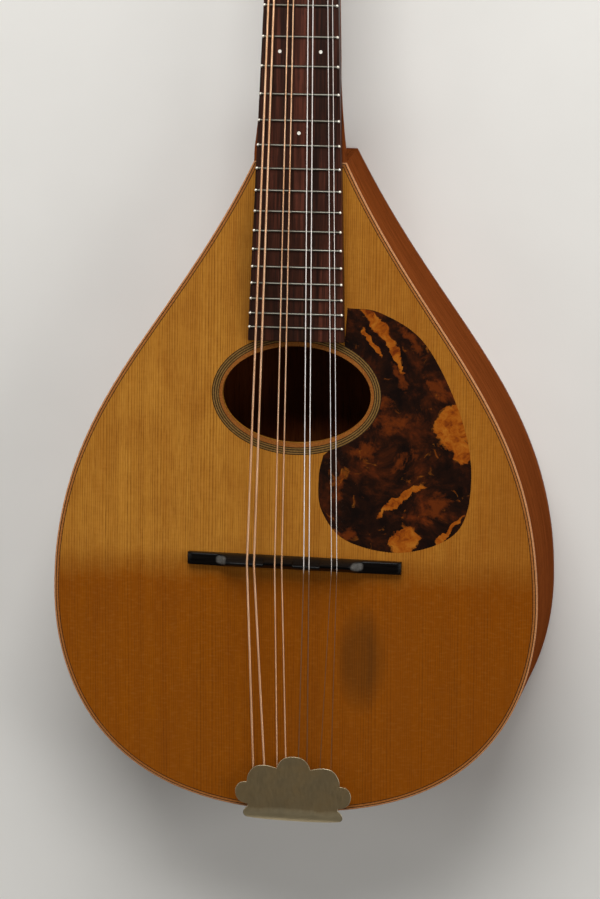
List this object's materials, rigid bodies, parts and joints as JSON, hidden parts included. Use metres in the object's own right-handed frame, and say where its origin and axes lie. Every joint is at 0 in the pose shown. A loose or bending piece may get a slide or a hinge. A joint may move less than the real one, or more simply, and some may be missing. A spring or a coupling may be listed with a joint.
{
  "type": "flat back mandolin",
  "caption": "Flat back mandolin with a bent spruce top, oval hole, inlaid tortoise guard, ebony bridge, cloud-shaped tailpiece cover, paired strings and worm-geared tuners.",
  "frame": {"origin": "on the outside of the flat back, on the centre line, right under the bend across the top, just above the bridge; the instrument lies on its back", "axes": "+X to the treble side, +Y along the neck toward the headstock, +Z out of the soundboard"},
  "size_m": [0.221, 0.5588, 0.0798],
  "materials": {
    "spruce_top": "satin",
    "mahogany": "gloss",
    "bare_wood": "matte",
    "rosewood": "satin",
    "ebony": "satin",
    "bone": "satin",
    "tortoise_celluloid": "gloss",
    "purfling": "satin",
    "nickel": "dull",
    "steel": "polished",
    "bronze_wound": "satin",
    "ivoroid": "gloss"
  },
  "bodies": {
    "instrument": {"soundboard": "spruce_top", "rosette": "purfling", "pickguard": "tortoise_celluloid", "top_binding": "purfling", "back_plate": "mahogany", "side_treble": "mahogany", "side_bass": "mahogany", "lining_top_treble": "bare_wood", "lining_top_bass": "bare_wood", "lining_back_treble": "bare_wood", "lining_back_bass": "bare_wood", "neck_block": "bare_wood", "tail_block": "bare_wood", "top_brace_upper": "bare_wood", "top_brace_lower": "bare_wood", "back_brace_upper": "bare_wood", "back_brace_lower": "bare_wood", "neck": "mahogany", "fretboard": "rosewood", "nut": "bone", "headstock_veneer": "rosewood", "bridge": "ebony", "tailpiece_base": "nickel", "tailpiece_cover": "nickel", "tuner_plate_treble": "nickel", "tuner_plate_bass": "nickel", "string_a1": "steel", "string_a2": "steel", "string_e1": "steel", "string_e2": "steel", "string_d1": "bronze_wound", "string_d2": "bronze_wound", "string_g1": "bronze_wound", "string_g2": "bronze_wound"},
    "knob_a1": {"worm_a1": "steel", "button_a1": "ivoroid"},
    "knob_a2": {"worm_a2": "steel", "button_a2": "ivoroid"},
    "knob_e1": {"worm_e1": "steel", "button_e1": "ivoroid"},
    "knob_e2": {"worm_e2": "steel", "button_e2": "ivoroid"},
    "knob_d1": {"worm_d1": "steel", "button_d1": "ivoroid"},
    "knob_d2": {"worm_d2": "steel", "button_d2": "ivoroid"},
    "knob_g1": {"worm_g1": "steel", "button_g1": "ivoroid"},
    "knob_g2": {"worm_g2": "steel", "button_g2": "ivoroid"},
    "winder_a1": {"post_a1": "nickel"},
    "winder_a2": {"post_a2": "nickel"},
    "winder_e1": {"post_e1": "nickel"},
    "winder_e2": {"post_e2": "nickel"},
    "winder_d1": {"post_d1": "nickel"},
    "winder_d2": {"post_d2": "nickel"},
    "winder_g1": {"post_g1": "nickel"},
    "winder_g2": {"post_g2": "nickel"}
  },
  "joints": [
    {"name": "knob_turn_a1", "type": "hinge", "parent": "instrument", "child": "knob_a1", "pos_m": [0.018, 0.41856, 0.00422], "axis": [1, 0, 0], "continuous": true},
    {"name": "knob_turn_a2", "type": "hinge", "parent": "instrument", "child": "knob_a2", "pos_m": [0.018, 0.3968, 0.00996], "axis": [1, 0, 0], "continuous": true},
    {"name": "knob_turn_e1", "type": "hinge", "parent": "instrument", "child": "knob_e1", "pos_m": [0.018, 0.37505, 0.01571], "axis": [1, 0, 0], "continuous": true},
    {"name": "knob_turn_e2", "type": "hinge", "parent": "instrument", "child": "knob_e2", "pos_m": [0.018, 0.3533, 0.02146], "axis": [1, 0, 0], "continuous": true},
    {"name": "knob_turn_d1", "type": "hinge", "parent": "instrument", "child": "knob_d1", "pos_m": [-0.018, 0.41856, 0.00422], "axis": [1, 0, 0], "continuous": true},
    {"name": "knob_turn_d2", "type": "hinge", "parent": "instrument", "child": "knob_d2", "pos_m": [-0.018, 0.3968, 0.00996], "axis": [1, 0, 0], "continuous": true},
    {"name": "knob_turn_g1", "type": "hinge", "parent": "instrument", "child": "knob_g1", "pos_m": [-0.018, 0.37505, 0.01571], "axis": [1, 0, 0], "continuous": true},
    {"name": "knob_turn_g2", "type": "hinge", "parent": "instrument", "child": "knob_g2", "pos_m": [-0.018, 0.3533, 0.02146], "axis": [1, 0, 0], "continuous": true},
    {"name": "post_turn_a1", "type": "hinge", "parent": "instrument", "child": "winder_a1", "pos_m": [0.018, 0.4175, 0.02146], "axis": [0, 0.2554, 0.9668], "continuous": true, "deforming": ["string_a1"]},
    {"name": "post_turn_a2", "type": "hinge", "parent": "instrument", "child": "winder_a2", "pos_m": [0.018, 0.39574, 0.02721], "axis": [0, 0.2554, 0.9668], "continuous": true, "deforming": ["string_a2"]},
    {"name": "post_turn_e1", "type": "hinge", "parent": "instrument", "child": "winder_e1", "pos_m": [0.018, 0.37399, 0.03296], "axis": [0, 0.2554, 0.9668], "continuous": true, "deforming": ["string_e1"]},
    {"name": "post_turn_e2", "type": "hinge", "parent": "instrument", "child": "winder_e2", "pos_m": [0.018, 0.35224, 0.0387], "axis": [0, 0.2554, 0.9668], "continuous": true, "deforming": ["string_e2"]},
    {"name": "post_turn_d1", "type": "hinge", "parent": "instrument", "child": "winder_d1", "pos_m": [-0.018, 0.4175, 0.02146], "axis": [0, 0.2554, 0.9668], "continuous": true, "deforming": ["string_d1"]},
    {"name": "post_turn_d2", "type": "hinge", "parent": "instrument", "child": "winder_d2", "pos_m": [-0.018, 0.39574, 0.02721], "axis": [0, 0.2554, 0.9668], "continuous": true, "deforming": ["string_d2"]},
    {"name": "post_turn_g1", "type": "hinge", "parent": "instrument", "child": "winder_g1", "pos_m": [-0.018, 0.37399, 0.03296], "axis": [0, 0.2554, 0.9668], "continuous": true, "deforming": ["string_g1"]},
    {"name": "post_turn_g2", "type": "hinge", "parent": "instrument", "child": "winder_g2", "pos_m": [-0.018, 0.35224, 0.0387], "axis": [0, 0.2554, 0.9668], "continuous": true, "deforming": ["string_g2"]}
  ],
  "couplings": [
    {"joint": "post_turn_a1", "follows": "knob_turn_a1", "ratio": 0.071429},
    {"joint": "post_turn_a2", "follows": "knob_turn_a2", "ratio": 0.071429},
    {"joint": "post_turn_e1", "follows": "knob_turn_e1", "ratio": 0.071429},
    {"joint": "post_turn_e2", "follows": "knob_turn_e2", "ratio": 0.071429},
    {"joint": "post_turn_d1", "follows": "knob_turn_d1", "ratio": 0.071429},
    {"joint": "post_turn_d2", "follows": "knob_turn_d2", "ratio": 0.071429},
    {"joint": "post_turn_g1", "follows": "knob_turn_g1", "ratio": 0.071429},
    {"joint": "post_turn_g2", "follows": "knob_turn_g2", "ratio": 0.071429}
  ]
}
